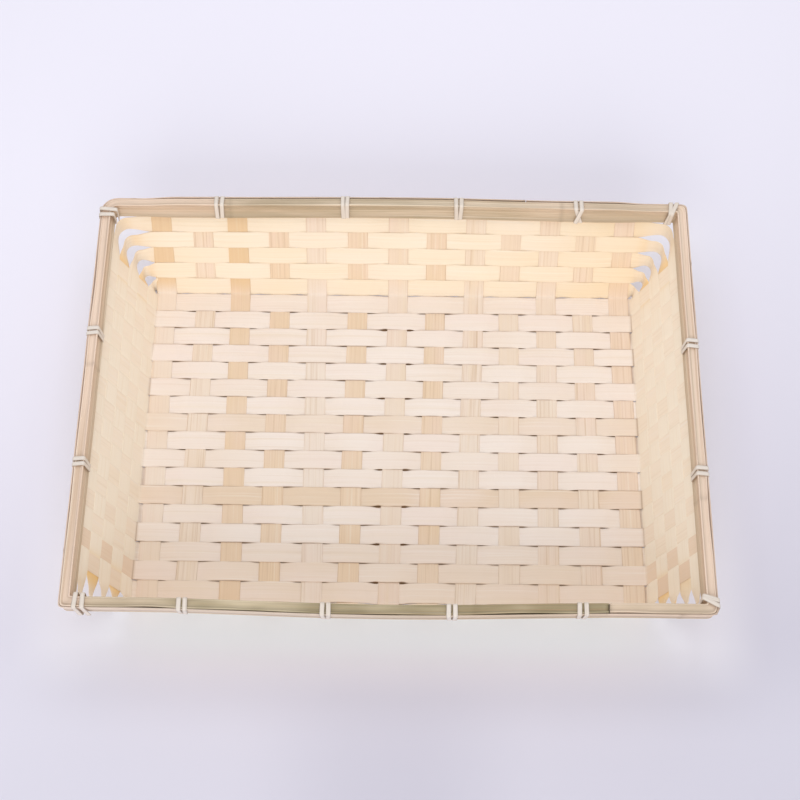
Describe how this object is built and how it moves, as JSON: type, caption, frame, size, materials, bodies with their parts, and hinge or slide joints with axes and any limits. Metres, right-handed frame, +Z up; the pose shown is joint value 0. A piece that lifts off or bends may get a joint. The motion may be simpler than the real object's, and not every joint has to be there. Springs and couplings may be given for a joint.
{
  "type": "woven bamboo tray",
  "caption": "Shallow rectangular open tray-basket woven from flat bamboo strips, with sloping walls and a double hoop rim bound by cord ties.",
  "frame": {"origin": "on the underside, at the middle of the floor", "axes": "+X along the long side to the right, +Y to the back, +Z up out of the open top"},
  "size_m": [0.3224, 0.2463, 0.059],
  "materials": {
    "warp_bamboo": "bare split bamboo, fine straight fibres, satin",
    "weft_bamboo": "bare split bamboo, pale, satin",
    "hoop_bamboo": "bare split bamboo, pale yellow, satin",
    "rim_bamboo": "split bamboo with green and tan skin, satin",
    "tie_cord": "flat pale binding cord, dull"
  },
  "bodies": {
    "root": {"warp_strip_01": "warp_bamboo", "warp_strip_02": "warp_bamboo", "warp_strip_03": "warp_bamboo", "warp_strip_04": "warp_bamboo", "warp_strip_05": "warp_bamboo", "warp_strip_06": "warp_bamboo", "warp_strip_07": "warp_bamboo", "warp_strip_08": "warp_bamboo", "warp_strip_09": "warp_bamboo", "warp_strip_10": "warp_bamboo", "warp_strip_11": "warp_bamboo", "warp_strip_12": "warp_bamboo", "warp_strip_13": "warp_bamboo", "weft_strip_01": "weft_bamboo", "weft_strip_02": "weft_bamboo", "weft_strip_03": "weft_bamboo", "weft_strip_04": "weft_bamboo", "weft_strip_05": "weft_bamboo", "weft_strip_06": "weft_bamboo", "weft_strip_07": "weft_bamboo", "weft_strip_08": "weft_bamboo", "weft_strip_09": "weft_bamboo", "weft_strip_10": "weft_bamboo", "weft_strip_11": "weft_bamboo", "weft_strip_12": "weft_bamboo", "weft_strip_13": "weft_bamboo", "weft_strip_14": "weft_bamboo", "weft_strip_15": "weft_bamboo", "weft_strip_16": "weft_bamboo", "weft_strip_17": "weft_bamboo", "wall_hoop_01": "hoop_bamboo", "wall_hoop_02": "hoop_bamboo", "wall_hoop_03": "hoop_bamboo", "wall_hoop_04": "hoop_bamboo", "wall_hoop_05": "hoop_bamboo", "rim_inner_hoop": "rim_bamboo", "rim_outer_hoop": "rim_bamboo", "front_tie_01": "tie_cord", "front_tie_02": "tie_cord", "front_tie_03": "tie_cord", "front_tie_04": "tie_cord", "left_tie_01": "tie_cord", "left_tie_02": "tie_cord", "back_tie_01": "tie_cord", "back_tie_02": "tie_cord", "back_tie_03": "tie_cord", "back_tie_04": "tie_cord", "right_tie_01": "tie_cord", "right_tie_02": "tie_cord", "back_left_corner_tie": "tie_cord", "back_right_corner_tie": "tie_cord", "front_right_corner_tie": "tie_cord", "front_left_corner_tie": "tie_cord"}
  },
  "joints": []
}
